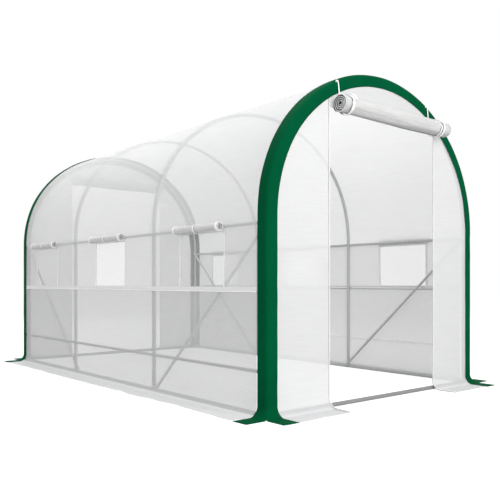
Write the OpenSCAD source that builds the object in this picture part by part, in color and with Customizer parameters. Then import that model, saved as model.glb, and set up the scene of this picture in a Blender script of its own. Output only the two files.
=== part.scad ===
// Walk-in polytunnel greenhouse: four steel hoops under a clear sheet cover,
// with an open doorway at each end and three netted windows in each side.
// The tunnel runs along Y, the front doorway is at -Y, and the ground is z = 0.

/* [Tunnel] */
// Distance between the leg centres of one hoop
hoop_span = 1960; // [1600:10:2600]
// Height of the hoop centreline at the crown
hoop_height = 2016; // [1800:2:2500]
// Length between the two end hoops, centre to centre
tunnel_length = 3460; // [2600:10:5000]
// Straight part of each leg
leg_height = 1101; // [950:1:1250]
// Angle from the top of a leg to where its shoulder meets the crown
shoulder_turn = 45.41; // [30:0.01:60]
// Distance of the front middle hoop from the tunnel's centre
front_mid_y = 576; // [450:1:700]
// Distance of the back middle hoop from the tunnel's centre
back_mid_y = 637; // [450:1:700]

/* [Tubes] */
// Hoop tube diameter
hoop_d = 25; // [19:1:38]
// Base rail tube diameter
base_d = 25; // [16:1:32]
// Side rail tube diameter
rail_d = 19; // [12:1:25]
// Diagonal brace tube diameter
brace_d = 19; // [12:1:25]
// Distance of the upper side rails below the top of the legs
upper_rail_drop = 40; // [20:1:90]
// Height of the extra rail on the left side
lower_rail_z = 246; // [120:2:320]
// Distance of a brace's upper end below the top of the end hoop's leg
brace_drop = 16; // [10:1:250]
// Height of a brace above the ground at the middle hoop
brace_foot_z = 25; // [20:1:90]

/* [Cover] */
// Thickness of the cover sheet
cover_t = 3; // [2:0.5:5]
// Height of the window sheet, from the welded seam to the top of the legs
window_band = 409; // [400:1:500]
// Radius where the cover bends out on the ground
skirt_r = 40; // [20:1:70]
// How far the ground flaps reach out from the cover
skirt_w = 172; // [140:2:260]

/* [Doorways] */
// Width of each doorway
door_w = 1036; // [700:2:1200]
// Offset of the doorway from the middle of the end, to the right
door_x = 6; // [-60:1:60]
// Distance from the crown of the hoop down to the head of the doorway
door_head = 256; // [230:2:560]
// Outer radius of the rolled-up door
door_roll_r = 57; // [45:1:62]
// Length of the rolled-up door
door_roll_l = 1056; // [800:2:1200]
// Offset of the rolled-up door from the doorway's middle, to the right
door_roll_x = 32; // [-60:1:60]
// Height of the rolled-up door's axis above the head of the doorway
door_roll_lift = 12; // [5:1:90]
// Turns of sheet in the rolled-up door
door_roll_turns = 5; // [3:1:7]
// Width of the straps round the roll
strap_w = 18; // [8:1:30]
// Thickness of the straps
strap_t = 2.5; // [1.5:0.5:4]
// Distance of the left tie from the roll's left end
tie_left = 62; // [20:1:80]
// Distance of the right tie from the roll's right end
tie_right = 87; // [20:1:95]
// Distance of the left hanger from the roll's left end
hanger_left = 30; // [20:1:40]
// Distance of the right hanger from the roll's right end
hanger_right = 121; // [110:1:300]

/* [Windows] */
// Width of each window
window_w = 440; // [300:5:560]
// Height of a window's lower edge above the seam
window_sill = 20; // [10:1:60]
// Height of each window
window_h = 318; // [200:5:330]
// Distance between the window centres
window_pitch = 1163; // [1000:1:1200]
// Offset of the windows from the middle of the side, towards the back
window_shift = 25; // [-60:1:60]
// Thickness of the insect netting
net_t = 2; // [1:0.5:3]
// Outer radius of a rolled-up window flap
window_roll_r = 27; // [18:1:32]
// Length of a rolled-up window flap
window_roll_l = 505; // [380:5:620]
// Height of the rolled-up window flap's axis above its window
window_roll_lift = 30; // [28:1:40]
// Turns of sheet in a rolled-up window flap
window_roll_turns = 3; // [2:1:5]

/* [Trim] */
// Thickness of the green edge trim
trim_t = 2; // [1:0.5:3]
// Width of the trim on the side of the tunnel
trim_side_w = 78; // [60:1:130]
// Width of the trim on the end of the tunnel
trim_end_w = 76; // [50:1:100]
// How far the tips of the trim's ground flaps spread past the corner of the tunnel
foot_spread = 41; // [20:1:80]
// Distance of the notch between those flaps from the corner, along each side
foot_notch = 31; // [15:1:60]

/* [Fits] */
// Clearance between a tube and the sheet over it
sheet_gap = 0.3; // [0.2:0.1:0.8]
// How much thicker the crown piece is, where it laps over the shoulder pieces
lap = 0.4; // [0.2:0.1:0.8]
// Length of the lap between the crown and a shoulder, in degrees of arc
lap_turn = 1.5; // [0.5:0.1:3]
// Clearance where a rail's end meets a hoop
rail_gap = 0.3; // [0.2:0.1:0.8]
// Clearance round a piece of netting in its window
net_gap = 0.4; // [0.2:0.1:0.8]
// Clearance between a roll and its straps
strap_gap = 0.5; // [0.3:0.1:0.8]

/* [Hidden] */
$fn = 96;
eps = 0.01;
half_w = hoop_span / 2;
half_l = tunnel_length / 2;
// The hoop is a three-centred arch: two shoulder arcs and a flatter crown arc, which
// meet at the shoulder's angle. Their radii follow from the span, height and leg.
turn = shoulder_turn;
rise = hoop_height - leg_height;
flatten = (1 - sin(turn)) / cos(turn);
shoulder_r = (rise - half_w * flatten) / (1 - flatten);
inset = half_w - shoulder_r;
crown_drop = inset * tan(turn);
crown_r = rise + crown_drop;
// Heights that follow the legs and the crown.
upper_rail_z = leg_height - upper_rail_drop;
brace_top_z = leg_height - brace_drop;
seam_z = leg_height - window_band;
door_h = hoop_height - door_head;
door_roll_z = door_h + door_roll_lift;
// Sheet positions, measured outwards from the hoop's centreline.
sheet_in = hoop_d / 2 + lap + sheet_gap;
sheet_out = sheet_in + cover_t;
trim_in = sheet_out + lap + sheet_gap;
trim_out = trim_in + trim_t;
wall_in_y = half_l + sheet_in;
wall_out_y = half_l + sheet_out;
roof_l = 2 * (wall_in_y - sheet_gap);
// The doors and their straps hang clear of the trim.
strap_back_y = half_l + trim_out + lap + sheet_gap;
strap_r = door_roll_r + strap_gap + strap_t;
door_roll_y = strap_back_y + strap_r;
window_roll_x = half_w + sheet_out + sheet_gap + window_roll_r;
window_z = seam_z + window_sill;
window_roll_z = window_z + window_h + window_roll_lift;
hoop_ys = [-half_l, -front_mid_y, back_mid_y, half_l];
window_ys = [for (i = [-1:1]) i * window_pitch + window_shift];
// Doorway and roll along the end, from the left to the right.
door_x0 = door_x - door_w / 2;
door_x1 = door_x + door_w / 2;
roll_x0 = door_x + door_roll_x - door_roll_l / 2;
roll_x1 = roll_x0 + door_roll_l;

// Sweeps a profile (outward offset, towards the front) along one arc of the hoop.
module arc(cx, cz, r, a0, a1) {
    translate([cx, 0, cz]) rotate([90, 0, 0]) rotate([0, 0, a0])
        rotate_extrude(angle = a1 - a0) translate([r, 0]) children();
}
module right_shoulder(extra) { arc(inset, leg_height, shoulder_r, 0, turn + extra) children(); }
module crown() { arc(0, leg_height - crown_drop, crown_r, turn, 180 - turn) children(); }
module right_leg(z0) {
    translate([half_w, 0, z0]) linear_extrude(leg_height - z0) mirror([0, 1]) children();
}

// Frame: the crown tube is a little wider and takes the shoulder tubes' ends
module half_hoop() {
    right_leg(0) circle(d = hoop_d);
    right_shoulder(lap_turn) circle(d = hoop_d);
}
module hoop_at(y) {
    color("silver") translate([0, y, 0]) {
        half_hoop();
        mirror([1, 0, 0]) half_hoop();
        crown() circle(d = hoop_d + 2 * lap);
    }
}
module front_hoop() { hoop_at(hoop_ys[0]); }
module front_middle_hoop() { hoop_at(hoop_ys[1]); }
module back_middle_hoop() { hoop_at(hoop_ys[2]); }
module back_hoop() { hoop_at(hoop_ys[3]); }

// One rail is three tubes, each set between two hoops.
module side_rail(side, z, d) {
    cut = hoop_d / 2 + rail_gap;
    color("silver") for (i = [0:2])
        translate([side * half_w, hoop_ys[i] + cut, z]) rotate([-90, 0, 0])
            cylinder(d = d, h = hoop_ys[i + 1] - hoop_ys[i] - 2 * cut);
}
module left_base_rail() { side_rail(-1, base_d / 2, base_d); }
module right_base_rail() { side_rail(1, base_d / 2, base_d); }
module left_upper_rail() { side_rail(-1, upper_rail_z, rail_d); }
module right_upper_rail() { side_rail(1, upper_rail_z, rail_d); }
module left_lower_rail() { side_rail(-1, lower_rail_z, rail_d); }

module end_rail(end) {
    cut = hoop_d / 2 + rail_gap;
    color("silver") translate([-half_w + cut, end * half_l, base_d / 2]) rotate([0, 90, 0])
        cylinder(d = base_d, h = hoop_span - 2 * cut);
}
module front_base_rail() { end_rail(-1); }
module back_base_rail() { end_rail(1); }

// A brace lies against the inside of the legs in an end bay.
module brace(y0, y1) {
    run = y1 - y0;
    rise_z = brace_top_z - brace_foot_z;
    x = half_w - hoop_d / 2 - rail_gap - brace_d / 2;
    translate([x, y0, brace_foot_z]) rotate([-atan2(run, rise_z), 0, 0])
        cylinder(d = brace_d, h = sqrt(run * run + rise_z * rise_z));
}
module right_braces() {
    color("silver") {
        brace(hoop_ys[1], hoop_ys[0]);
        brace(hoop_ys[2], hoop_ys[3]);
    }
}
module left_braces() { mirror([1, 0, 0]) right_braces(); }

// Cover of the sides and roof
module side_sheet(side, z0, z1) {
    x0 = side > 0 ? half_w + sheet_in : -half_w - sheet_out;
    translate([x0, -roof_l / 2, z0]) cube([cover_t, roof_l, z1 - z0]);
}
module window_holes(side, grow, t) {
    x = side * (half_w + sheet_in + cover_t / 2);
    for (y = window_ys)
        translate([x - t / 2, y - window_w / 2 - grow, window_z - grow])
            cube([t, window_w + 2 * grow, window_h + 2 * grow]);
}
module left_lower_wall() { color("white", 0.7) side_sheet(-1, skirt_r, seam_z); }
module right_lower_wall() { color("white", 0.7) side_sheet(1, skirt_r, seam_z); }
module window_wall(side) {
    color("white", 0.7) difference() {
        side_sheet(side, seam_z, leg_height);
        window_holes(side, 0, 3 * cover_t);
    }
}
module left_window_wall() { window_wall(-1); }
module right_window_wall() { window_wall(1); }

module roof_profile() { translate([sheet_in, -roof_l / 2]) square([cover_t, roof_l]); }
module roof_left() { mirror([1, 0, 0]) roof_right(); }
module roof_crown() { color("white", 0.6) crown() roof_profile(); }
module roof_right() { color("white", 0.6) right_shoulder(0) roof_profile(); }

// A skirt is one bent strip: down the wall, round a quarter bend and out over the
// ground. Its outside starts at x = 0 and it reaches out along +x.
module lane(r) {
    translate([skirt_r, skirt_r]) {
        circle(r);
        translate([0, -r]) square([2 * skirt_w, 2 * r]);
        translate([-r, 0]) square([2 * r, 2 * skirt_w]);
    }
}
module skirt_2d(t, reach, up) {
    intersection() {
        difference() {
            lane(skirt_r);
            lane(skirt_r - t);
        }
        square([reach, skirt_r + up]);
    }
}
// The strip is cut to its plan outline, which gives a flap the shape of its ends.
module skirt_strip(t, reach, up, plan) {
    ys = [for (p = plan) p[1]];
    intersection() {
        translate([0, max(ys) + 1, 0]) rotate([90, 0, 0])
            linear_extrude(max(ys) - min(ys) + 2) skirt_2d(t, reach, up);
        translate([0, 0, -1]) linear_extrude(skirt_r + up + 2) polygon(plan);
    }
}
function flap_plan(y0, y1) = [[-1, y0], [skirt_w + 1, y0], [skirt_w + 1, y1], [-1, y1]];
side_end = wall_out_y - trim_side_w;
module right_skirt() {
    color("white", 0.8) translate([half_w + sheet_in, 0, 0])
        skirt_strip(cover_t, skirt_w, 0, flap_plan(-side_end, side_end));
}
module left_skirt() { mirror([1, 0, 0]) right_skirt(); }

// Ends: the arch outline, then the pieces beside and over the doorway
function shoulder_pts(d) = [for (i = [0:12]) let (a = turn * i / 12)
    [inset + (shoulder_r + d) * cos(a), leg_height + (shoulder_r + d) * sin(a)]];
function crown_pts(d) = [for (i = [1:24]) let (a = turn + (89 - turn) * i / 24)
    [(crown_r + d) * cos(a), leg_height - crown_drop + (crown_r + d) * sin(a)]];
function half_arch(d) = concat([[half_w + d, skirt_r]], shoulder_pts(d), crown_pts(d));
function mirrored(v) = [for (p = v) [-p[0], p[1]]];
function whole_arch(d) = concat(half_arch(d), reversed(mirrored(half_arch(d))));
module end_right_2d() {
    intersection() {
        polygon(whole_arch(sheet_out));
        translate([door_x1, 0]) square([hoop_span, door_h]);
    }
}
module end_left_2d() {
    intersection() {
        polygon(whole_arch(sheet_out));
        translate([door_x0 - hoop_span, 0]) square([hoop_span, door_h]);
    }
}
module end_top_2d() {
    intersection() {
        polygon(whole_arch(sheet_out));
        translate([-hoop_span, door_h]) square([2 * hoop_span, hoop_height]);
    }
}
module end_sheet() {
    translate([0, wall_out_y, 0]) rotate([90, 0, 0]) linear_extrude(cover_t) children();
}
module back_wall_right() { color("white", 0.7) end_sheet() end_right_2d(); }
module back_wall_left() { color("white", 0.7) end_sheet() end_left_2d(); }
module back_wall_top() { color("white", 0.7) end_sheet() end_top_2d(); }
module front_wall_right() { mirror([0, 1, 0]) back_wall_right(); }
module front_wall_left() { mirror([0, 1, 0]) back_wall_left(); }
module front_wall_top() { mirror([0, 1, 0]) back_wall_top(); }

end_out = half_w + sheet_out - trim_end_w;
module right_end_skirt(jamb) {
    translate([0, wall_in_y, 0]) rotate([0, 0, 90])
        skirt_strip(cover_t, skirt_w, 0, flap_plan(-end_out, -jamb));
}
module back_skirts() {
    color("white", 0.8) {
        right_end_skirt(door_x1);
        mirror([1, 0, 0]) right_end_skirt(-door_x0);
    }
}
module front_skirts() { mirror([0, 1, 0]) back_skirts(); }

// Green trim: an L-shaped edge that wraps the side and the end of the cover
trim_end_y = half_l + trim_out;
module trim_profile(grow) {
    // The profile looks towards the front, so the end flange lies at the top.
    a = trim_in - grow;
    b = trim_out + grow;
    e = trim_end_y + grow;
    t = b - a;
    side = trim_end_y - trim_t - trim_side_w - grow;
    edge = trim_out - trim_end_w - grow;
    polygon([[a, side], [b, side], [b, e], [edge, e], [edge, e - t], [a, e - t]]);
}
module front_trim_arch() {
    color("darkgreen") {
        right_shoulder(lap_turn) trim_profile(0);
        mirror([1, 0, 0]) right_shoulder(lap_turn) trim_profile(0);
        crown() trim_profile(lap);
    }
}
module back_trim_arch() { mirror([0, 1, 0]) front_trim_arch(); }

// The foot of the trim flares into two ground flaps that meet along a mitre and
// part at a notch. A flap's plan has the corner of the tunnel at 0, 0.
trim_reach = skirt_w + trim_t;
function foot_plan(wide, mitre) = [[-1, -wide], [trim_reach + 1, -wide], [trim_reach + 1, foot_spread],
    [foot_notch, foot_notch + mitre], [-1, mitre]];
module foot(wide) {
    skirt_strip(trim_t, trim_reach, trim_t, foot_plan(wide, trim_t / 2));
}
module back_right_corner() {
    x0 = half_w + trim_in;
    y0 = half_l + trim_in;
    color("darkgreen") {
        mirror([0, 1, 0]) right_leg(skirt_r) trim_profile(0);
        translate([x0, y0, 0]) foot(trim_side_w);
        translate([x0, y0, 0]) mirror([1, -1, 0]) foot(trim_end_w);
    }
}
module front_right_corner() { mirror([0, 1, 0]) back_right_corner(); }
module front_left_corner() { mirror([1, 0, 0]) front_right_corner(); }
module back_left_corner() { mirror([1, 0, 0]) back_right_corner(); }

// Rolled-up sheets
function coil(r, turns, t, inner) = [for (i = [0:turns * 24])
    let (a = i * 15, p = r - (r * 0.72) * i / (turns * 24) - (inner ? t : 0)) [p * cos(a), p * sin(a)]];
function reversed(v) = [for (i = [len(v) - 1:-1:0]) v[i]];
module coil_2d(r, turns, t) {
    polygon(concat(coil(r, turns, t, false), reversed(coil(r, turns, t, true))));
}
module front_door_roll() {
    color("white") translate([roll_x0, -door_roll_y, door_roll_z]) rotate([90, 0, 90])
        linear_extrude(door_roll_l) rotate([0, 0, 90]) coil_2d(door_roll_r, door_roll_turns, cover_t);
}
module back_door_roll() { mirror([0, 1, 0]) front_door_roll(); }

module strap_ring(x) {
    translate([x - strap_w / 2, -door_roll_y, door_roll_z]) rotate([90, 0, 90])
        rotate_extrude() translate([strap_r - strap_t, 0]) square([strap_t, strap_w]);
}
// A hanger's strap runs from its ring up to the trim over the doorway.
module hanger(x) {
    top_z = leg_height - crown_drop + sqrt(pow(crown_r + trim_out, 2) - x * x) - trim_end_w / 3;
    strap_ring(x);
    translate([x - strap_w / 2, -strap_back_y - strap_t, door_roll_z])
        cube([strap_w, strap_t, top_z - door_roll_z]);
}
module front_roll_straps() {
    color("white") {
        strap_ring(roll_x0 + tie_left);
        strap_ring(roll_x1 - tie_right);
        hanger(roll_x0 + hanger_left);
        hanger(roll_x1 - hanger_right);
    }
}
module back_roll_straps() { mirror([0, 1, 0]) front_roll_straps(); }

module left_window_nets() { color("gainsboro", 0.5) window_holes(-1, -net_gap, net_t); }
module right_window_nets() { color("gainsboro", 0.5) window_holes(1, -net_gap, net_t); }

module right_window_rolls() {
    color("white") for (y = window_ys)
        translate([window_roll_x, y + window_roll_l / 2, window_roll_z])
            rotate([90, 0, 0]) linear_extrude(window_roll_l)
                rotate([0, 0, 180]) coil_2d(window_roll_r, window_roll_turns, cover_t);
}
module left_window_rolls() { mirror([1, 0, 0]) right_window_rolls(); }

front_hoop();
front_middle_hoop();
back_middle_hoop();
back_hoop();
left_base_rail();
right_base_rail();
front_base_rail();
back_base_rail();
left_upper_rail();
right_upper_rail();
left_lower_rail();
left_braces();
right_braces();
left_lower_wall();
right_lower_wall();
left_window_wall();
right_window_wall();
roof_left();
roof_crown();
roof_right();
left_skirt();
right_skirt();
front_wall_left();
front_wall_right();
front_wall_top();
front_skirts();
back_wall_left();
back_wall_right();
back_wall_top();
back_skirts();
front_left_corner();
front_right_corner();
front_trim_arch();
back_left_corner();
back_right_corner();
back_trim_arch();
front_door_roll();
front_roll_straps();
back_door_roll();
back_roll_straps();
left_window_nets();
right_window_nets();
left_window_rolls();
right_window_rolls();
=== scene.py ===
import math

import bmesh
import bpy
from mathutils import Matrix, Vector, noise


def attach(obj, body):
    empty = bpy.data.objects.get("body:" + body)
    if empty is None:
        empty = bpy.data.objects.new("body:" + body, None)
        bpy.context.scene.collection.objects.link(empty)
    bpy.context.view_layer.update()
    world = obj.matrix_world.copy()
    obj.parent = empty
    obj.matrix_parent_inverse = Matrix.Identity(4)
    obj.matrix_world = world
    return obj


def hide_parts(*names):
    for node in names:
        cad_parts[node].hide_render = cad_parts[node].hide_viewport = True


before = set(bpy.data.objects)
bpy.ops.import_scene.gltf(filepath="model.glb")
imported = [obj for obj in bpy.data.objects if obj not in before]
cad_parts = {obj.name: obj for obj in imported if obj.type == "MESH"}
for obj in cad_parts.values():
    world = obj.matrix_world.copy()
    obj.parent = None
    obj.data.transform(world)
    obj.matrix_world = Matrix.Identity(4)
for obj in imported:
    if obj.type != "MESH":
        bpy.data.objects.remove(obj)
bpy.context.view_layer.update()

# Sizes in metres, from the construction save for the bend and the length of the window rolls
HALF_W = 0.980          # leg centre from the middle
HALF_L = 1.730          # end hoop from the middle
HOOPS = (-HALF_L, -0.576, 0.637, HALF_L)
LEG = 1.101             # straight leg height
RISE = 2.016 - LEG      # of the arch over the legs
TURN = math.radians(45.41)          # where the shoulder arc meets the crown arc
FLATTEN = (1 - math.sin(TURN)) / math.cos(TURN)
SHOULDER_R = (RISE - HALF_W * FLATTEN) / (1 - FLATTEN)
INSET = HALF_W - SHOULDER_R         # shoulder arc's centre from the middle
DROP = INSET * math.tan(TURN)       # crown arc's centre below the spring line
CROWN_R = RISE + DROP
SHEET = 0.0147          # middle of the sheet, outside the hoop's centreline
TRIM = 0.0179           # middle of the trim, outside the hoop's centreline
TRIM_SIDE = 0.079       # width of the trim's band on the side
TRIM_END = 0.0753       # and on the end
SEAM_Z = 0.692          # welded seam of the side walls
LOW_SEAM_Z = 0.262      # the low seam inside the right wall
RAIL_Z = 1.061          # upper side rail, where the roof sheet meets the window sheet
BEND = 0.062            # radius of the bend at the foot of a sheet, rounder than the solid's
REACH = 0.172           # how far a sheet runs out over the ground
SKIRT_Z = 0.012         # where a side wall ends and its skirt begins
GROUND = 0.0012         # lowest middle of a sheet on the ground
SPREAD = 0.041          # how far out the trim's two feet stay joined at a corner

# Doorway, windows and rolls
DOOR_L, DOOR_R = -0.512, 0.524
DOOR_H = 1.760
WIN_W = 0.440
WIN_Z0, WIN_Z1 = 0.712, 1.030
WIN_YS = (-1.138, 0.025, 1.188)
NET_LAP = 0.004         # of the netting behind the sheet
ROLL_R = 0.057
ROLL_L = 1.056
ROLL_X = 0.038
ROLL_Z = 1.772
ROLL_Y = 1.8096
ROLL_TURNS, ROLL_FLAT = 4, 0.83     # turns drawn, and their length when flat
ROLL_DEPTH = 0.0042                 # thickness of a turn
ROLL_BELLY = 0.003                  # fuller middle between the ties
ROLL_TIES = (-ROLL_L / 2 + 0.062, ROLL_L / 2 - 0.087)
HANGERS = (ROLL_X - ROLL_L / 2 + 0.044, ROLL_X + ROLL_L / 2 - 0.124)
WROLL_R = 0.027
WROLL_L = 0.458         # shorter than the solid's
WROLL_Z = 1.060
WROLL_X = 1.0238
WROLL_TURNS, WROLL_FLAT = 3, 0.29
WROLL_DEPTH = 0.0034
WROLL_BACK = 0.008      # roll's middle behind the window's
WROLL_TIES = (-WROLL_L / 2 + 0.007, -0.004, WROLL_L / 2 - 0.007)

# Layout of the sheets
EDGE_Y = HALF_L + SHEET             # the end sheet
SHEET_END = HALF_L + TRIM - TRIM_SIDE - 0.010   # half length of the side and roof sheets
END_LAP = 0.012         # of the end sheets under the trim
GRID = 0.045            # mesh step along the side and roof sheets
END_FOOT_Z = 0.30       # the end sheets' foot starts here
TRIM_FOOT_Z = 0.10      # and the trim's here
CORD_R = 0.0030         # of the bows and the seam's bead

# Shades and weave
THREAD_PITCH = 0.015    # of the threads in the clear sheets
WEAVE = 0.0035          # of the coloured sheet
PAINTED_ROLL_SHADE = (0.03, 0.031, 0.031)         # painted shade between the turns of a roll and on the inside of its sheet
RIM = (0.94, 0.94, 0.935)           # cut edge of a roll, painted much lighter than its face: a painted highlight on the edges of the turns


# Node material helpers
class Nodes:
    """The nodes of a material or a world, with short calls for those that are used here."""

    def __init__(self, owner, output="ShaderNodeOutputMaterial"):
        self.owner = owner
        owner.use_nodes = True
        self.t = owner.node_tree
        self.t.nodes.clear()
        self.out = self.t.nodes.new(output)

    def new(self, kind, **props):
        n = self.t.nodes.new(kind)
        for k, v in props.items():
            setattr(n, k, v)
        return n

    def link(self, a, b):
        self.t.links.new(a, b)

    def math(self, op, a, b=None, clamp=False):
        n = self.new("ShaderNodeMath", operation=op, use_clamp=clamp)
        for i, v in enumerate((a, b)):
            if v is None:
                continue
            if isinstance(v, (int, float)):
                n.inputs[i].default_value = v
            else:
                self.link(v, n.inputs[i])
        return n.outputs[0]

    def ramp(self, value, low, high, to_low=0.0, to_high=1.0):
        n = self.new("ShaderNodeMapRange", interpolation_type="SMOOTHSTEP")
        self.link(value, n.inputs["Value"])
        for k, v in (("From Min", low), ("From Max", high), ("To Min", to_low), ("To Max", to_high)):
            n.inputs[k].default_value = v
        return n.outputs["Result"]

    def noise(self, vector, scale, detail=3.0, rough=0.5):
        n = self.new("ShaderNodeTexNoise")
        n.inputs["Scale"].default_value = scale
        n.inputs["Detail"].default_value = detail
        n.inputs["Roughness"].default_value = rough
        self.link(vector, n.inputs["Vector"])
        return n.outputs["Fac"]

    def scaled(self, vector, s):
        n = self.new("ShaderNodeVectorMath", operation="MULTIPLY")
        self.link(vector, n.inputs[0])
        n.inputs[1].default_value = s
        return n.outputs[0]

    def colour(self, fac, a, b):
        n = self.new("ShaderNodeMix", data_type="RGBA")
        self.link(fac, n.inputs["Factor"])
        for key, v in (("A", a), ("B", b)):
            if isinstance(v, tuple):
                n.inputs[key].default_value = (*v, 1)
            else:
                self.link(v, n.inputs[key])
        return n.outputs["Result"]

    def bump(self, height, strength, distance):
        n = self.new("ShaderNodeBump")
        n.inputs["Strength"].default_value = strength
        n.inputs["Distance"].default_value = distance
        self.link(height, n.inputs["Height"])
        return n.outputs["Normal"]

    def uv(self):
        return self.new("ShaderNodeUVMap", uv_map="metres").outputs["UV"]

    def obj(self):
        return self.new("ShaderNodeTexCoord").outputs["Object"]

    def stripe(self, value, pitch):
        """0 in the middle of each stripe and 0.5 at its edges, with the pitch in metres."""
        f = self.math("FRACT", self.math("MULTIPLY", value, 1 / pitch))
        return self.math("ABSOLUTE", self.math("SUBTRACT", f, 0.5))

    def seen(self):
        """1 for the rays that show a thing itself and 0 for those that only light others."""
        rays = self.new("ShaderNodeLightPath").outputs
        return self.math("MAXIMUM", rays["Is Camera Ray"],
                         self.math("MAXIMUM", rays["Is Glossy Ray"], rays["Is Transmission Ray"]))

    def surface(self, base, rough, specular=0.5):
        p = self.new("ShaderNodeBsdfPrincipled")
        self.link(base, p.inputs["Base Color"])
        p.inputs["Roughness"].default_value = rough
        p.inputs["Specular IOR Level"].default_value = specular
        return p

    def see_through(self, opacity, surface):
        """Ends a material as a surface that lets part of the view through."""
        clear = self.new("ShaderNodeBsdfTransparent")
        mix = self.new("ShaderNodeMixShader")
        for i, v in enumerate((opacity, clear.outputs[0], surface)):
            self.link(v, mix.inputs[i])
        self.link(mix.outputs[0], self.out.inputs[0])


def grid_lines(m, uv, pitch, width):
    """1 on a square grid of lines, with the pitch and the line width in metres."""
    sep = m.new("ShaderNodeSeparateXYZ")
    m.link(uv, sep.inputs[0])
    w = width / pitch / 2
    lines = [m.ramp(m.stripe(sep.outputs[axis], pitch), 0.5 - w * 1.4, 0.5 - w * 0.6) for axis in ("X", "Y")]
    return m.math("MAXIMUM", *lines)


def sheet_material(name, alpha, thread_alpha, shade, glow):
    """Reinforced clear-white sheet: woven threads in a cloudy film that lets light through."""
    m = Nodes(bpy.data.materials.new(name))
    uv = m.uv()
    sep = m.new("ShaderNodeSeparateXYZ")
    m.link(uv, sep.inputs[0])
    # two sets of threads that cross at a low angle
    threads = []
    for slope, pitch in ((0.32, THREAD_PITCH), (-0.75, THREAD_PITCH * 1.3)):
        row = m.math("ADD", sep.outputs["Y"], m.math("MULTIPLY", sep.outputs["X"], slope))
        threads.append(m.ramp(m.stripe(row, pitch), 0.12, 0.38))
    lines = m.math("ADD", m.math("MULTIPLY", threads[0], 0.72), m.math("MULTIPLY", threads[1], 0.28))
    cloud = m.noise(m.scaled(uv, (1.3, 4.0, 1.0)), 2.4, 4.0)
    streak = m.noise(m.scaled(uv, (1.6, 26.0, 1.0)), 3.0, 3.0, 0.6)
    base = m.colour(m.ramp(streak, 0.25, 0.75), tuple(c * 0.97 for c in shade),
                    tuple(c * 1.01 for c in shade))
    p = m.surface(base, 0.45, 0.12)
    height = m.math("ADD", m.math("MULTIPLY", lines, 0.25), m.math("MULTIPLY", streak, 0.9))
    m.link(m.bump(height, 0.25, 0.002), p.inputs["Normal"])
    tr = m.new("ShaderNodeBsdfTranslucent")
    m.link(base, tr.inputs["Color"])
    mix = m.new("ShaderNodeMixShader")
    mix.inputs[0].default_value = glow
    m.link(p.outputs[0], mix.inputs[1])
    m.link(tr.outputs[0], mix.inputs[2])
    opacity = m.math("ADD", m.math("MULTIPLY", lines, thread_alpha - alpha), alpha)
    opacity = m.math("ADD", opacity, m.math("MULTIPLY", m.math("SUBTRACT", cloud, 0.5), 0.06), clamp=True)
    m.see_through(opacity, mix.outputs[0])
    return m.owner


def solid_white(name, colour, rough=0.45, weave=0.004):
    """White sheet or tape that is thick enough to hide what is behind it."""
    m = Nodes(bpy.data.materials.new(name))
    uv = m.uv()
    lines = grid_lines(m, uv, weave, weave * 0.3)
    soil = m.noise(m.obj(), 7.0, 4.0)
    base = m.colour(m.ramp(soil, 0.35, 0.75), colour, tuple(c * 0.94 for c in colour))
    p = m.surface(base, rough, 0.35)
    streak = m.noise(m.scaled(uv, (2.0, 30.0, 1.0)), 4.0, 3.0, 0.6)
    height = m.math("ADD", m.math("MULTIPLY", lines, 0.4), streak)
    m.link(m.bump(height, 0.35, 0.002), p.inputs["Normal"])
    m.link(p.outputs[0], m.out.inputs[0])
    return m.owner


def roll_material(name, colour, length, first):
    """A rolled-up sheet: creased along its length, with painted shade in the creases and painted shade
    between the turns under the first.
    """
    m = Nodes(bpy.data.materials.new(name))
    uv = m.uv()
    sep = m.new("ShaderNodeSeparateXYZ")
    m.link(uv, sep.inputs[0])
    crease = m.noise(m.scaled(uv, (3.4, 62.0, 1.0)), 2.2, 4.0, 0.7)
    soft = m.noise(m.scaled(uv, (3.0, 18.0, 1.0)), 2.0, 3.0)
    shade = m.math("ADD", m.math("MULTIPLY", crease, 0.6), m.math("MULTIPLY", soft, 0.4))
    # the creases are painted darker as well as bumped: painted shade in the creases
    outside = m.colour(m.ramp(shade, 0.36, 0.62), tuple(c * 0.86 for c in colour), colour)
    # painted shade: the turns under the first are painted near black
    painted_turn_shade = m.ramp(sep.outputs["Y"], first * 0.985, first)
    # the cut edges of the turns are painted light, as a painted highlight
    rim = m.ramp(m.math("ABSOLUTE", sep.outputs["X"]), length / 2 - 0.0016, length / 2 - 0.0006)
    base = m.colour(m.math("MULTIPLY", painted_turn_shade, m.math("SUBTRACT", 1.0, rim)), outside, PAINTED_ROLL_SHADE)
    p = m.surface(m.colour(rim, base, RIM), 0.5, 0.05)
    m.link(m.bump(shade, 0.7, 0.006), p.inputs["Normal"])
    m.link(p.outputs[0], m.out.inputs[0])
    return m.owner


def woven_colour(name, colour, dark):
    """Coated woven sheet in a plain colour, with a fine weave and slight unevenness."""
    m = Nodes(bpy.data.materials.new(name))
    uv = m.uv()
    lines = grid_lines(m, uv, WEAVE, WEAVE * 0.4)
    patch = m.noise(m.obj(), 3.5, 4.0)
    fine = m.noise(m.scaled(uv, (40.0, 40.0, 1.0)), 6.0, 2.0)
    shade = m.math("ADD", m.math("MULTIPLY", m.ramp(patch, 0.3, 0.7), 0.6), m.math("MULTIPLY", fine, 0.4))
    p = m.surface(m.colour(shade, colour, dark), 0.6, 0.01)
    wrinkle = m.noise(m.scaled(uv, (5.0, 1.4, 1.0)), 5.0, 3.0)
    height = m.math("ADD", m.math("MULTIPLY", lines, 0.3), wrinkle)
    m.link(m.bump(height, 0.4, 0.003), p.inputs["Normal"])
    m.link(p.outputs[0], m.out.inputs[0])
    return m.owner


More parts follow.
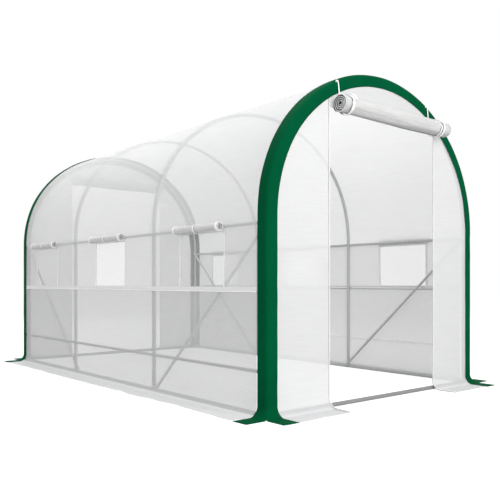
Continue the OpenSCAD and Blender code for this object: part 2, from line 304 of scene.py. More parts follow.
def steel_material(name, low, high):
    """Galvanised tube: a satin grey with a faint spangle and fine grain."""
    m = Nodes(bpy.data.materials.new(name))
    co = m.obj()
    vor = m.new("ShaderNodeTexVoronoi")
    vor.inputs["Scale"].default_value = 95.0
    m.link(co, vor.inputs["Vector"])
    sep = m.new("ShaderNodeSeparateColor")
    m.link(vor.outputs["Color"], sep.inputs[0])
    cloud = m.noise(co, 6.0, 4.0)
    fac = m.math("ADD", m.math("MULTIPLY", sep.outputs[0], 0.35), m.math("MULTIPLY", cloud, 0.65))
    p = m.surface(m.colour(fac, low, high), 0.5)
    p.inputs["Metallic"].default_value = 0.12
    m.link(m.ramp(fac, 0.2, 0.8, 0.48, 0.62), p.inputs["Roughness"])
    m.link(m.bump(m.noise(co, 260.0, 2.0), 0.08, 0.001), p.inputs["Normal"])
    m.link(p.outputs[0], m.out.inputs[0])
    return m.owner


def net_material(name):
    """Fine insect netting: thin pale threads with open holes."""
    m = Nodes(bpy.data.materials.new(name))
    uv = m.uv()
    lines = grid_lines(m, uv, 0.0022, 0.0005)
    fuzz = m.noise(m.scaled(uv, (60.0, 60.0, 1.0)), 4.0, 2.0)
    base = m.colour(fuzz, (0.70, 0.71, 0.71), (0.80, 0.80, 0.80))
    m.see_through(m.math("ADD", m.math("MULTIPLY", lines, 0.34), 0.22), m.surface(base, 0.6).outputs[0])
    return m.owner


# The sheets below, save the seam tape, are one clear cover whose shade is set part by part to how bright each
# part looks under the lamps, which paints light and shade into them: lightest on the roof, darker on the
# window band and darker still on the lower walls, lighter again on the skirts on the ground, and the
# over-door sheet a darker copy of the end sheet.
M_LOW = sheet_material("sheet_lower", 0.725, 0.81, (0.655, 0.657, 0.66), 0.28)
M_WIN = sheet_material("sheet_window", 0.76, 0.78, (0.75, 0.752, 0.755), 0.28)
M_UP = sheet_material("sheet_upper", 0.77, 0.79, (0.825, 0.827, 0.83), 0.50)
M_END = sheet_material("sheet_end", 0.84, 0.855, (0.715, 0.717, 0.718), 0.24)
M_OVER_DOOR_SHADE = sheet_material("sheet_end_painted_shade", 0.87, 0.885, (0.645, 0.647, 0.648), 0.22)
M_SKIRT = sheet_material("sheet_skirt", 0.84, 0.90, (0.73, 0.733, 0.74), 0.25)
M_SEAM = sheet_material("seam_tape", 0.95, 0.98, (0.87, 0.87, 0.87), 0.12)
M_ROLL = roll_material("rolled_door_sheet", (0.585, 0.588, 0.582), ROLL_L, 2 * math.pi * ROLL_R * 0.93)
M_WROLL = roll_material("rolled_window_sheet", (0.70, 0.702, 0.70), WROLL_L, 2 * math.pi * WROLL_R * 0.90)
# the inside of a roll's sheet is painted near black, as painted shade inside the roll
M_ROLL_INSIDE_SHADE = solid_white("painted_roll_shade_inside", PAINTED_ROLL_SHADE)
M_STRAP = solid_white("white_tape", (0.98, 0.98, 0.98), 0.45, 0.0015)
M_ZIP = solid_white("zip_tape", (0.97, 0.97, 0.97), 0.5, 0.0015)
M_HEM = solid_white("zip_hem", (0.76, 0.76, 0.76), 0.5, 0.0015)
M_GREEN = woven_colour("green_sheet", (0.0, 0.088, 0.032), (0.0, 0.072, 0.0255))
M_LINING = woven_colour("grey_lining", (0.22, 0.232, 0.228), (0.185, 0.197, 0.193))
M_STEEL = steel_material("galvanised_steel", (0.44, 0.445, 0.45), (0.56, 0.565, 0.57))
# a darker copy of the steel for the base rails on the ground: painted shade where little light reaches them
M_STEEL_SHADED = steel_material("steel_painted_shade", (0.20, 0.20, 0.205), (0.28, 0.28, 0.285))
M_NET = net_material("insect_net")

for name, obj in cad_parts.items():
    if any(w in name for w in ("hoop", "rail", "brace")):
        obj.data.materials.clear()
        # the base rails take the darker copy of the steel, as painted shade
        obj.data.materials.append(M_STEEL_SHADED if name in ("front_base_rail", "back_base_rail") else M_STEEL)


# Mesh helpers
def finish_piece(name, verts, faces, uvs, mat):
    """Makes a mesh object with a UV map in metres. uvs has one pair per vertex."""
    me = bpy.data.meshes.new(name)
    me.from_pydata(verts, [], faces)
    layer = me.uv_layers.new(name="metres")
    for loop in me.loops:
        layer.data[loop.index].uv = uvs[loop.vertex_index]
    for poly in me.polygons:
        poly.use_smooth = True
    me.materials.append(mat)
    me.update()
    o = bpy.data.objects.new(name, me)
    bpy.context.scene.collection.objects.link(o)
    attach(o, "root")
    return o


def quads(rows, across, base=0):
    """Faces of a grid of points, numbered from base and row by row."""
    at = [base + i * across + j for i in range(rows - 1) for j in range(across - 1)]
    return [(a, a + 1, a + across + 1, a + across) for a in at]


def grid_piece(name, rows, uvs, mat, skip=None):
    """rows is a list of equal lists of points. skip(i, j) leaves a face out."""
    n = len(rows[0])
    verts = [p for r in rows for p in r]
    flat_uv = [p for r in uvs for p in r]
    faces = [f for f in quads(len(rows), n) if not (skip and skip(f[0] // n, f[0] % n))]
    used = sorted({k for f in faces for k in f})
    index = {k: i for i, k in enumerate(used)}
    faces = [tuple(index[k] for k in f) for f in faces]
    return finish_piece(name, [verts[k] for k in used], faces, [flat_uv[k] for k in used], mat)


def thicken(o, depth, material_offset=0):
    """Gives a sheet its thickness. The inside can take another of its materials."""
    s = o.modifiers.new("thickness", "SOLIDIFY")
    s.thickness = depth
    s.offset = 0.0
    s.material_offset = material_offset
    return s


def tube(name, path, radius, mat, sides=10):
    """A round cord or piping along a path, with closed ends."""
    pts = [Vector(p) for p in path]
    rows, uvs, run = [], [], 0.0
    side = None
    for i, p in enumerate(pts):
        d = (pts[min(i + 1, len(pts) - 1)] - pts[max(i - 1, 0)]).normalized()
        if side is None:
            side = d.orthogonal().normalized()
        side = (side - d * side.dot(d)).normalized()
        up = d.cross(side)
        if i:
            run += (p - pts[i - 1]).length
        row, uv = [], []
        for k in range(sides + 1):
            a = 2 * math.pi * k / sides
            row.append(p + (side * math.cos(a) + up * math.sin(a)) * radius)
            uv.append((radius * a, run))
        rows.append(row)
        uvs.append(uv)
    rows = [[pts[0]] * (sides + 1)] + rows + [[pts[-1]] * (sides + 1)]
    uvs = [uvs[0]] + uvs + [uvs[-1]]
    o = grid_piece(name, rows, uvs, mat)
    weld(o)
    return o


def ribbon(name, path, across, width, depth, mat):
    """A flat tape along a path. across is the direction of its width."""
    a = Vector(across).normalized()
    pts = [Vector(p) for p in path]
    rows, uvs = [], []
    for k in range(3):
        f = (k / 2 - 0.5) * width
        run, row, uv = 0.0, [], []
        for i, p in enumerate(pts):
            if i:
                run += (p - pts[i - 1]).length
            row.append(p + a * f)
            uv.append((run, f))
        rows.append(row)
        uvs.append(uv)
    o = grid_piece(name, rows, uvs, mat)
    if depth:
        thicken(o, depth)
    return o


def weld(o, dist=1e-5):
    """Joins the vertices that coincide."""
    bm = bmesh.new()
    bm.from_mesh(o.data)
    bmesh.ops.remove_doubles(bm, verts=bm.verts, dist=dist)
    bmesh.ops.dissolve_degenerate(bm, dist=1e-6, edges=bm.edges)
    bmesh.ops.recalc_face_normals(bm, faces=bm.faces)
    bm.to_mesh(o.data)
    bm.free()


def spaced(a, b, step):
    """Even places from a to b, about a step apart."""
    n = max(1, round(abs(b - a) / step))
    return [a + (b - a) * i / n for i in range(n + 1)]


def merged(*lists):
    """All the values in order, with near repeats left out."""
    out = []
    for v in sorted(x for part in lists for x in part):
        if not out or v - out[-1] > 1e-4:
            out.append(v)
    return out


# The hoop's outline at an offset, as (x, z, normal x, normal z)
def arch_at(angle, off):
    """angle runs from 0 at the right spring line to 180 degrees at the left one, in radians."""
    if angle <= TURN:
        cx, cz, r = INSET, LEG, SHOULDER_R
    elif angle >= math.pi - TURN:
        cx, cz, r = -INSET, LEG, SHOULDER_R
    else:
        cx, cz, r = 0.0, LEG - DROP, CROWN_R
    c, s = math.cos(angle), math.sin(angle)
    return cx + (r + off) * c, cz + (r + off) * s, c, s


def arch_run(angle, off):
    """Length along the outline from the right spring line."""
    a = min(angle, TURN) * (SHOULDER_R + off)
    b = max(0.0, min(angle, math.pi - TURN) - TURN) * (CROWN_R + off)
    c = max(0.0, angle - (math.pi - TURN)) * (SHOULDER_R + off)
    return a + b + c


def arch_top(x, off):
    """Height of the outline over a place x."""
    x = abs(x)
    edge = INSET + (SHOULDER_R + off) * math.cos(TURN)
    if x <= edge:
        return LEG - DROP + math.sqrt(max(0.0, (CROWN_R + off) ** 2 - x * x))
    d = min(1.0, max(0.0, (x - INSET) / (SHOULDER_R + off)))
    return LEG + (SHOULDER_R + off) * math.sqrt(1 - d * d)


def between_hoops(y):
    """0 at a hoop and 1 midway between two."""
    for a, b in zip(HOOPS, HOOPS[1:]):
        if a <= y <= b:
            return math.sin(math.pi * (y - a) / (b - a))
    return 0.0


def ripple(a, b, c, size):
    """Smooth noise of a fixed pattern, up to about size either way."""
    return noise.noise(Vector((a, b, c))) * size


# The foot of a sheet: down to the bend, round it and out over the ground
def foot_path(z_top, reach, step):
    """List of (outward, height, run) from z_top down to the ground and out to reach."""
    out = [(0.0, z, z_top - z) for z in reversed(spaced(BEND, z_top, step))]
    run = z_top - BEND
    for i in range(1, 9):
        a = math.pi / 2 * i / 8
        out.append((BEND * (1 - math.cos(a)), BEND * (1 - math.sin(a)), run + BEND * a))
    run += BEND * math.pi / 2
    for o in spaced(BEND, reach, 0.025)[1:]:
        out.append((o, 0.0, run + o - BEND))
    return out


# Side walls and roof
def low_x(side, y, z):
    """Distance of the lower side sheet from the middle."""
    bulge = between_hoops(y) * 0.006 * math.sin(math.pi * min(1.0, z / SEAM_Z))
    return HALF_W + SHEET - bulge + ripple(y * 3.1, z * 5.0, side * 3.0, 0.003) * (1.0 if z > 0.08 else 0.3)


def win_x(side, y, z):
    """The same for the window sheet."""
    bulge = between_hoops(y) * 0.005 * math.sin(math.pi * (z - SEAM_Z) / 0.8)
    return HALF_W + SHEET - bulge + ripple(y * 3.1, z * 5.0, side * 3.0, 0.0025)


def side_sheets(side, word):
    """One side wall: lower sheet, skirt, window sheet, nets, seams and zips."""
    x_wall = HALF_W + SHEET
    ys = spaced(-SHEET_END, SHEET_END, GRID)
    # lower wall with its skirt
    path = foot_path(SEAM_Z, REACH, 0.05)
    rows, uvs = [], []
    for out, z, run in path:
        row, uv = [], []
        for y in ys:
            flat = max(0.0, (out - BEND) / (REACH - BEND))
            x = low_x(side, y, z) + out
            zz = z
            if out > BEND * 0.6:
                x += (ripple(y * 2.3, 0.4, side * 7.0, 0.02) + ripple(y * 6.1, 0.9, side * 7.0, 0.014)) * flat
                lift = ripple(y * 7.0, out * 14.0, side * 5.0, 0.010)
                zz = max(GROUND, z + max(0.0, lift) * min(1.0, (out - BEND * 0.6) / 0.05))
            row.append((side * x, y, zz))
            uv.append((y, -run))
        rows.append(row)
        uvs.append(uv)
    cut = next(i for i, (out, z, run) in enumerate(path) if z <= SKIRT_Z)
    low = grid_piece(f"{word}_lower_sheet", rows[:cut + 1], uvs[:cut + 1], M_LOW)
    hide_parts(f"{word}_lower_wall")
    skirt = grid_piece(f"{word}_ground_skirt", rows[cut:], uvs[cut:], M_SKIRT)
    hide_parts(f"{word}_skirt")
    # window wall
    edges_y, edges_z = [], [WIN_Z0, WIN_Z1]
    for yc in WIN_YS:
        edges_y += [yc - WIN_W / 2, yc + WIN_W / 2]
    coarse = [y for y in ys if all(abs(y - e) > 0.012 for e in edges_y)]
    wy = merged(coarse, edges_y)
    coarse = [z for z in spaced(SEAM_Z, RAIL_Z, 0.04) if all(abs(z - e) > 0.008 for e in edges_z)]
    wz = merged(coarse, edges_z)
    rows, uvs = [], []
    for z in wz:
        rows.append([(side * win_x(side, y, z), y, z) for y in wy])
        uvs.append([(y, z) for y in wy])

    def in_window(i, j):
        y, z = (wy[j] + wy[j + 1]) / 2, (wz[i] + wz[i + 1]) / 2
        return WIN_Z0 < z < WIN_Z1 and any(abs(y - yc) < WIN_W / 2 for yc in WIN_YS)

    mid = grid_piece(f"{word}_window_sheet", rows, uvs, M_WIN, skip=in_window)
    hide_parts(f"{word}_window_wall")
    # nets
    verts, faces, flat_uv = [], [], []
    for yc in WIN_YS:
        gy = spaced(yc - WIN_W / 2 - NET_LAP, yc + WIN_W / 2 + NET_LAP, 0.044)
        gz = spaced(WIN_Z0 - NET_LAP, WIN_Z1 + NET_LAP, 0.04)
        base = len(verts)
        for z in gz:
            for y in gy:
                verts.append((side * (x_wall - 0.0022 + ripple(y * 5, z * 7, 2.0, 0.0012)), y, z))
                flat_uv.append((y, z))
        faces += quads(len(gz), len(gy), base)
    net = finish_piece(f"{word}_nets", verts, faces, flat_uv, M_NET)
    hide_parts(f"{word}_window_nets")

    # welded seam: a tape and a raised bead outside, small hems inside, and zips beside each window
    def hem(part, z):
        out = []
        for n, (a, b) in enumerate(zip(HOOPS, HOOPS[1:])):
            a, b = max(a + 0.024, -SHEET_END), min(b - 0.024, SHEET_END)
            at = [(side * (low_x(side, y, z) - 0.0056), y, z) for y in spaced(a, b, GRID)]
            out.append(ribbon(f"{word}_{part}_{n + 1}", at, (side * 0.66, 0, 0.75), 0.013, 0,
                              M_SEAM))
        return out

    z = SEAM_Z + 0.004
    tape = [(side * (low_x(side, y, z) + 0.0022), y, z) for y in ys]
    bead = [(side * (low_x(side, y, SEAM_Z) + 0.003), y, SEAM_Z - 0.010) for y in ys]
    parts = [ribbon(f"{word}_seam_tape", tape, (0, 0, 1), 0.026, 0, M_SEAM),
             tube(f"{word}_seam_bead", bead, CORD_R, M_STRAP, 8)] + hem("seam_hem", SEAM_Z)
    if side > 0:
        parts += hem("low_hem", LOW_SEAM_Z)
    for n, yc in enumerate(WIN_YS):
        for m, s in enumerate((-1, 1)):
            y = yc + s * (WIN_W / 2 + 0.008)
            for part, off, width in (("zip", 0.0012, 0.014), ("zip_lining", -0.0010, 0.009)):
                at = [(side * (win_x(side, y, z) + off), y, z)
                      for z in spaced(SEAM_Z + 0.004, WROLL_Z - 0.02, 0.04)]
                parts.append(ribbon(f"{word}_window_{part}_{n + 1}_{m + 1}", at, (0, 1, 0), width, 0,
                                    M_ZIP))


def roof_sheet():
    """The roof in one sheet over all hoops, from rail to rail."""
    n = 96
    leg = LEG - RAIL_Z
    ys = spaced(-SHEET_END, SHEET_END, GRID)
    rows, uvs = [], []
    for i in range(-1, n + 2):
        a = math.pi * min(max(i, 0), n) / n
        row, uv = [], []
        for y in ys:
            sag = between_hoops(y) * 0.010 * math.sin(a)
            x, z, _, _ = arch_at(a, SHEET - sag + ripple(y * 2.7, a * 4.0, 9.0, 0.003))
            run = leg + arch_run(a, SHEET)
            if i < 0 or i > n:
                x, z = math.copysign(win_x(math.copysign(1, x), y, RAIL_Z), x), RAIL_Z
                run = 0.0 if i < 0 else run + leg
            row.append((x, y, z))
            uv.append((y, run))
        rows.append(row)
        uvs.append(uv)
    o = grid_piece("roof_sheet", rows, uvs, M_UP)
    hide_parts("roof_left", "roof_crown", "roof_right")
    arch_run(math.pi, SHEET) + 2 * leg


# Ends
def end_sheets(end, word):
    """end is -1 for the front and 1 for the back."""
    inner = SHEET - TRIM_END + END_LAP
    x_out = HALF_W + inner
    for side, hand in ((-1, "left"), (1, "right")):
        jamb_x = DOOR_R if side > 0 else -DOOR_L
        xs = spaced(jamb_x, x_out, 0.04)
        top_rows = 26
        path = foot_path(END_FOOT_Z, REACH, 0.05)
        rows, uvs = [], []
        for i in range(top_rows):
            row, uv = [], []
            for x in xs:
                z_top = arch_top(x, inner)
                z = z_top + (END_FOOT_Z - z_top) * i / top_rows
                dy = (ripple(x * 6.0, z * 4.0, end * 2.0 + side, 0.003)
                      + 0.004 * math.sin(math.pi * (x - jamb_x) / (x_out - jamb_x)))
                row.append((side * x, end * (EDGE_Y - dy), z))
                uv.append((x, z))
            rows.append(row)
            uvs.append(uv)
        for out, z, run in path:
            row, uv = [], []
            flat = max(0.0, (out - BEND) / (REACH - BEND))
            for x in xs:
                f = (x - jamb_x) / (x_out - jamb_x)
                x2 = x + 0.012 * (1 - f) * flat
                dy = ripple(x * 6.0, z * 4.0, end * 2.0 + side, 0.003) if z > 0.1 else 0.0
                lift = max(0.0, ripple(x * 9.0, out * 12.0, side + end * 4.0, 0.010)) * flat
                row.append((side * x2, end * (EDGE_Y + out - dy), max(GROUND, z + lift)))
                uv.append((x2, END_FOOT_Z - run))
            rows.append(row)
            uvs.append(uv)
        o = grid_piece(f"{word}_{hand}_sheet", rows, uvs, M_END)
        o.data.materials.append(M_SKIRT)
        for f in o.data.polygons:
            f.material_index = int(f.center.z < 0.02)
        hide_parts(f"{word}_wall_{hand}")
        area = sum((arch_top((a + b) / 2, inner) + REACH - 0.02) * (b - a) for a, b in zip(xs, xs[1:]))
        jamb = [(side * (jamb_x + 0.001), end * (EDGE_Y + 0.003), z)
                for z in reversed(spaced(END_FOOT_Z, DOOR_H + 0.05, 0.1))]
        for out, z, run in path[1:]:
            flat = max(0.0, (out - BEND) / (REACH - BEND))
            jamb.append((side * (jamb_x + 0.012 * flat), end * (EDGE_Y + out), z + 0.0045))
        zip_o = tube(f"{word}_{hand}_zip", jamb, 0.0050, M_HEM)
        if hand == "right":
            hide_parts(f"{word}_skirts")
    # over the doorway
    xs = spaced(DOOR_L, DOOR_R, 0.04)
    rows, uvs = [], []
    for i in range(9):
        row, uv = [], []
        for x in xs:
            z_top = arch_top(x, inner)
            z = z_top + (DOOR_H - z_top) * i / 8
            row.append((x, end * (EDGE_Y - ripple(x * 5.0, z * 6.0, end * 3.0, 0.003)), z))
            uv.append((x, z))
        rows.append(row)
        uvs.append(uv)
    # the sheet over the doorway takes the darker copy of the end sheet, as painted shade
    o = grid_piece(f"{word}_over_door_sheet", rows, uvs, M_OVER_DOOR_SHADE)
    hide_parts(f"{word}_wall_top")
    area = sum((arch_top((a + b) / 2, inner) - DOOR_H) * (b - a) for a, b in zip(xs, xs[1:]))


def trim_piece(end, word):
    """The green edge: a side band and an end band along the whole hoop, with flared feet."""
    # its section, as (offset from the hoop, y): the side band, the rounded edge, the end band
    cross_side, cross_end, round_r = 6, 5, 0.022
    y_end = HALF_L + TRIM
    across = []
    for k in range(cross_side + 1):
        across.append((TRIM, y_end - TRIM_SIDE + (TRIM_SIDE - round_r) * k / cross_side))
    for k in range(1, 6):
        a = math.pi / 2 * k / 6
        across.append((TRIM - round_r * (1 - math.cos(a)), y_end - round_r + round_r * math.sin(a)))
    for k in range(cross_end + 1):
        across.append((TRIM - round_r - (TRIM_END - round_r) * k / cross_end, y_end))
    # stations along it, as (kind, value): leg heights, then the arch, then leg heights
    stations = []
    for z in spaced(TRIM_FOOT_Z, LEG, 0.06)[:-1]:
        stations.append(("right", z))
    for i in range(81):
        stations.append(("arch", math.pi * i / 80))
    for z in reversed(spaced(TRIM_FOOT_Z, LEG, 0.06)[:-1]):
        stations.append(("left", z))
    rows, uvs = [], []
    for kind, v in stations:
        row, uv = [], []
        s = 0.0
        for k, (off, y) in enumerate(across):
            if k:
                s += math.hypot(off - across[k - 1][0], y - across[k - 1][1])
            wob = ripple((v if kind == "arch" else v * 2) * 5.0, s * 20.0, end * 3.0, 0.0018)
            if kind == "arch":
                x, z, _, _ = arch_at(v, off + wob)
                run_v = LEG + arch_run(v, TRIM)
            elif kind == "right":
                x, z, run_v = HALF_W + off + wob, v, v
            else:
                x, z, run_v = -(HALF_W + off + wob), v, 2 * LEG + arch_run(math.pi, TRIM) - v
            row.append((x, end * y, z))
            uv.append((s, run_v))
        rows.append(row)
        uvs.append(uv)
    n = len(rows[0])
    verts = [p for r in rows for p in r]
    flat_uv = [p for r in uvs for p in r]
    faces = quads(len(rows), n)
    # feet: each band runs on down, round the bend and out
    path = foot_path(TRIM_FOOT_Z, REACH + 0.002, 0.02)
    for side, first in ((1, 0), (-1, len(rows) - 1)):
        for band in ("side", "end"):
            ids = list(range(0, cross_side + 4)) if band == "side" else list(range(cross_side + 3, n))
            last = [first * n + k for k in ids]
            start = [Vector(verts[k]) for k in last]
            prev = last
            for out, z, r in path[1:]:
                flat = max(0.0, (out - BEND) / (REACH - BEND))
                new = []
                for q, p in enumerate(start):
                    w = q / (len(start) - 1)
                    if band == "end":
                        w = 1 - w
                    lean = w * min(out, SPREAD)
                    lift = max(0.0, ripple(p.x * 11 + out * 9.0, p.y * 9.0, 1.5, 0.012)) * flat
                    zz = max(0.0016, z + 0.001 + lift)
                    if band == "side":
                        pos = (p.x + side * out, p.y + end * lean, zz)
                    else:
                        pos = (p.x + side * lean, p.y + end * out, zz)
                    verts.append(pos)
                    flat_uv.append((flat_uv[last[q]][0], flat_uv[last[q]][1] + (-r if side > 0 else r)))
                    new.append(len(verts) - 1)
                for j in range(len(new) - 1):
                    faces.append((prev[j], prev[j + 1], new[j + 1], new[j]))
                prev = new
    o = finish_piece(f"{word}_trim", verts, faces, flat_uv, M_GREEN)
    o.data.materials.append(M_LINING)
    weld(o, 1e-4)
    # the outside of the trim is the green side, so its normals have to point away from the tunnel
    me = o.data
    probe = max(me.polygons, key=lambda f: f.center.z)
    if probe.normal.z < 0:
        me.flip_normals()
    thicken(o, 0.002, 1)
    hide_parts(f"{word}_trim_arch", f"{word}_left_corner", f"{word}_right_corner")
    2 * (LEG + 0.2) + arch_run(math.pi, TRIM)


# Rolled sheets
def coil_rows(r, turns, length, step, seed, ties, depth, belly):
    """Rows along the roll's own axis (x), each a spiral in (y, z) from the free edge inwards."""
    per = 44                        # points in a turn
    start = math.radians(222)       # where the free edge lies
    xs = merged(spaced(-length / 2, length / 2, step), [t + d for t in ties for d in (-0.016, 0.0, 0.016)])
    rows, uvs = [], []
    for x in xs:
        row, uv, s = [], [], 0.0
        last = None
        # fuller towards the ends, drawn in at the ties, and sagging between them
        end = max(0.0, 1 - (length / 2 - abs(x)) / (1.3 * r))
        waist = sum(math.exp(-((x - t) / (0.32 * r)) ** 2) for t in ties)
        swell = 0.975 - depth / 2 / r + 0.02 * end * end - 0.03 * waist
        sag = belly * math.cos(math.pi / 2 * min(1.0, abs(x) / (length / 2 - 0.08))) ** 2
        for i in range(turns * per + 1):
            a = start - 2 * math.pi * i / per
            f = i / (turns * per)
            c, d = math.cos(a), math.sin(a)
            p = r * swell * (1 - 0.85 * f)
            p += ripple(c * 1.5, d * 1.5 + seed, x * 2.0, r * 0.05 * (1 - 0.5 * f))
            if i <= per:
                p += (ripple(c * 5.5 + seed, d * 5.5, x * 1.9, r * 0.045)
                      + ripple(c * 11, d * 11 + seed, x * 3.0, r * 0.02))
            p = min(p, r * 1.01 - depth / 2) * (1 + sag / r)
            pt = (p * c + sag * 0.6, p * d - sag)
            if last:
                s += math.hypot(pt[0] - last[0], pt[1] - last[1])
            last = pt
            row.append((x * (1 - 0.09 * r * f / (length / 2)), pt[0], pt[1]))
            uv.append((x, s))
        rows.append(row)
        uvs.append(uv)
    return rows, uvs


def rolled(name, r, turns, length, step, place, seed, mat, ties, depth, belly=0.0):
    """A rolled-up sheet. place puts a point of the roll in the scene."""
    rows, uvs = coil_rows(r, turns, length, step, seed, ties, depth, belly)
    rows = [[place(*p) for p in row] for row in rows]
    o = grid_piece(name, rows, uvs, mat)
    # the second material paints the sheet's inner faces near black, as painted shade
    o.data.materials.append(M_ROLL_INSIDE_SHADE)
    # the outside of the roll faces away from its axis
    me = o.data
    low = min(me.polygons, key=lambda f: f.center.z)
    if low.normal.z > 0:
        me.flip_normals()
    thicken(o, depth, 1).material_offset_rim = 0
    return o


def band_round(name, r, width, depth, place, at):
    """A tape round a roll at a place along it."""
    rows, uvs = [], []
    for k in range(3):
        row, uv = [], []
        for i in range(41):
            a = 2 * math.pi * i / 40
            row.append(place(at + (k / 2 - 0.5) * width, r * math.cos(a), r * math.sin(a)))
            uv.append((r * a, k * width / 2))
        rows.append(row)
        uvs.append(uv)
    o = grid_piece(name, rows, uvs, M_STRAP)
    weld(o)
    thicken(o, depth)
    return o


# Top of a hanger: steps along the doorway, outwards and up
HOOK = ((-0.013, 0.0, -0.010), (-0.012, 0.001, -0.002), (-0.008, 0.002, 0.003), (-0.003, 0.003, 0.001),
        (0.001, 0.003, -0.006))
# Loops and tails of a bow: which way each leans, its height and its width
BOW = ((-1, 0.030, 0.012), (1, 0.034, 0.020), (-1, -0.016, 0.014), (1, -0.012, 0.018))


def door_parts(end, word):
    """The rolled door, its ties with bows, and the hangers from the trim."""
    def place(x, y, z):
        return (ROLL_X + x, end * (ROLL_Y + y), ROLL_Z + z)

    roll = rolled(f"{word}_rolled_door", ROLL_R, ROLL_TURNS, ROLL_L, 0.022, place, 3.0 + end,
                  M_ROLL, ROLL_TIES, ROLL_DEPTH, ROLL_BELLY)
    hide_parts(f"{word}_door_roll")
    r = ROLL_R + 0.0005
    for n, x in enumerate(ROLL_TIES):
        band_round(f"{word}_tie_{n + 1}", r, 0.015, 0.0018, place, x)
        # a bow on the upper front: two loops and two short tails
        for m, (lean, height, wide) in enumerate(BOW):
            pts = []
            for i in range(13):
                f = i / 12
                if m < 2:
                    up, out = math.sin(math.pi * f) * (0.35 + 0.65 * f), math.sin(math.pi * f * 0.9)
                else:
                    up, out = math.sin(math.pi * 0.6 * f), f
                a = math.radians(38) + height * up / r
                rr = r + 0.0045 + 0.006 * math.sin(math.pi * f)
                pts.append(place(x + 0.010 + lean * wide * out, rr * math.cos(a), rr * math.sin(a)))
            tube(f"{word}_bow_{n + 1}_{m + 1}", pts, CORD_R, M_STRAP)
    for n, x in enumerate(HANGERS):
        top = arch_top(x, TRIM) - 0.009
        y_face = HALF_L + TRIM + 0.0035
        # a hook at the top, the drop, and a turn round the roll
        pts = [(x + dx, end * (y_face + dy), top + dz) for dx, dy, dz in HOOK]
        low = ROLL_Z + ROLL_R * 0.8
        for z in reversed(spaced(low, top - 0.02, 0.02)):
            f = (top - z) / (top - low)
            pts.append((x + 0.004 + 0.004 * f, end * (y_face + 0.003 + 0.010 * f * f), z))
        for i in range(1, 16):
            a = math.radians(145 - 22 * i)
            pts.append((x + 0.008, end * (ROLL_Y + (ROLL_R + 0.0028) * math.cos(math.pi - a)),
                        ROLL_Z + (ROLL_R + 0.0028) * math.sin(a)))
        ribbon(f"{word}_hanger_{n + 1}", pts, (1, 0, 0), 0.009, 0.0016, M_STRAP)
    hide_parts(f"{word}_roll_straps")


def window_parts(side, word):
    """The rolled flaps over the windows of one side."""
    for n, yc in enumerate(WIN_YS):
        def place(x, y, z):
            return (side * (WROLL_X + y), yc + WROLL_BACK - x, WROLL_Z + z)

        roll = rolled(f"{word}_window_roll_{n + 1}", WROLL_R, WROLL_TURNS, WROLL_L, 0.02, place,
                      11.0 + n + side * 5, M_WROLL, WROLL_TIES[1:2], WROLL_DEPTH)
        if n == 0:
            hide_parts(f"{word}_window_rolls")
        for m, x in enumerate(WROLL_TIES):
            # a collar at each end and a thinner tie between them
            r, width, depth = (WROLL_R, 0.012, 0.002) if m == 1 else (WROLL_R - 0.001, 0.017, 0.003)
            band_round(f"{word}_window_tie_{n + 1}_{m + 1}", r, width, depth, place, x)


for side, word in ((-1, "left"), (1, "right")):
    side_sheets(side, word)
    window_parts(side, word)
roof_sheet()
for end, word in ((-1, "front"), (1, "back")):
    end_sheets(end, word)
    trim_piece(end, word)
    door_parts(end, word)

# Stage, light and camera
scene = bpy.context.scene
scene.view_settings.view_transform = "Standard"

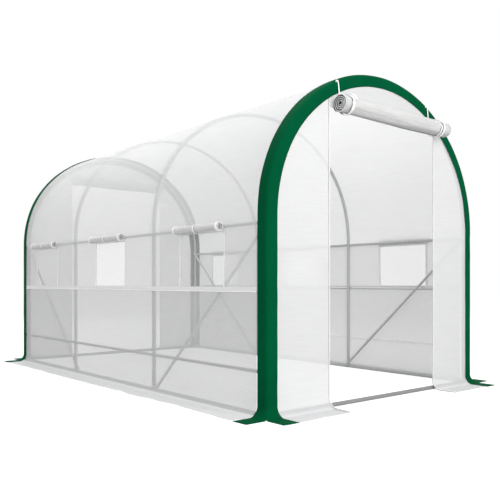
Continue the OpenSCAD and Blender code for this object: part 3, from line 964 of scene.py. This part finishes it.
FLOOR = 30.0            # half width
FLOOR_COLOUR = (0.50, 0.50, 0.50, 1)
FLOOR_WHITE = 0.74      # added where the floor is seen, so that it reads as white
WORLD_LIGHT = 0.57      # what the white surroundings give as light
floor_me = bpy.data.meshes.new("floor")
floor_me.from_pydata([(-FLOOR, -FLOOR, 0), (FLOOR, -FLOOR, 0), (FLOOR, FLOOR, 0), (-FLOOR, FLOOR, 0)],
                     [], [(0, 1, 2, 3)])
floor = bpy.data.objects.new("floor", floor_me)
floor.location.z = -0.001
scene.collection.objects.link(floor)
fm = Nodes(bpy.data.materials.new("floor_white"))
d = fm.new("ShaderNodeBsdfDiffuse")
d.inputs["Color"].default_value = FLOOR_COLOUR
e = fm.new("ShaderNodeEmission")
fm.link(fm.math("MULTIPLY", fm.seen(), FLOOR_WHITE), e.inputs["Strength"])
add = fm.new("ShaderNodeAddShader")
fm.link(d.outputs[0], add.inputs[0])
fm.link(e.outputs[0], add.inputs[1])
fm.link(add.outputs[0], fm.out.inputs[0])
floor_me.materials.append(fm.owner)

world = bpy.data.worlds.new("studio")
scene.world = world
wm = Nodes(world, "ShaderNodeOutputWorld")
bg = wm.new("ShaderNodeBackground")
bg.inputs["Color"].default_value = (1, 1, 1, 1)
wm.link(wm.ramp(wm.seen(), 0.0, 1.0, WORLD_LIGHT, 1.0), bg.inputs["Strength"])
wm.link(bg.outputs[0], wm.out.inputs[0])


def area_light(name, at, to, size, watts):
    """A square lamp at a place, turned towards another."""
    li = bpy.data.lights.new(name, "AREA")
    li.shape = "SQUARE"
    li.size = size
    li.energy = watts
    o = bpy.data.objects.new(name, li)
    o.location = at
    o.rotation_euler = (Vector(to) - Vector(at)).to_track_quat("-Z", "Y").to_euler()
    scene.collection.objects.link(o)


area_light("key", (-1.0, -7.0, 2.9), (0, 0, 0.9), 4.5, 318)
area_light("top", (0.0, 0.5, 7.5), (0, 0, 1.0), 5.5, 275)
area_light("fill", (-7.5, 0.2, 3.0), (0, 0, 0.9), 4.0, 98)
area_light("back", (1.5, 7.5, 4.5), (0, 0, 0.9), 4.0, 95)

# The camera as fitted to the photo: level, with the horizon moved by a lens shift
IMAGE = 500.0           # picture width in pixels
FOCAL = 648.0           # focal length in pixels
HORIZON = 283.48        # height of the horizon in pixels, from the top
SENSOR = 36.0           # millimetres
CAMERA = (-3.2960, -4.3501, 0.7285)
CAMERA_TURN = 39.946    # degrees to the right of +Y
cam = bpy.data.cameras.new("camera")
cam.sensor_fit = "HORIZONTAL"
cam.sensor_width = SENSOR
cam.lens = FOCAL * SENSOR / IMAGE
cam.shift_y = (HORIZON - IMAGE / 2) / IMAGE
cam_o = bpy.data.objects.new("camera", cam)
cam_o.location = CAMERA
cam_o.rotation_euler = (math.radians(90), 0, -math.radians(CAMERA_TURN))
scene.collection.objects.link(cam_o)
scene.camera = cam_o
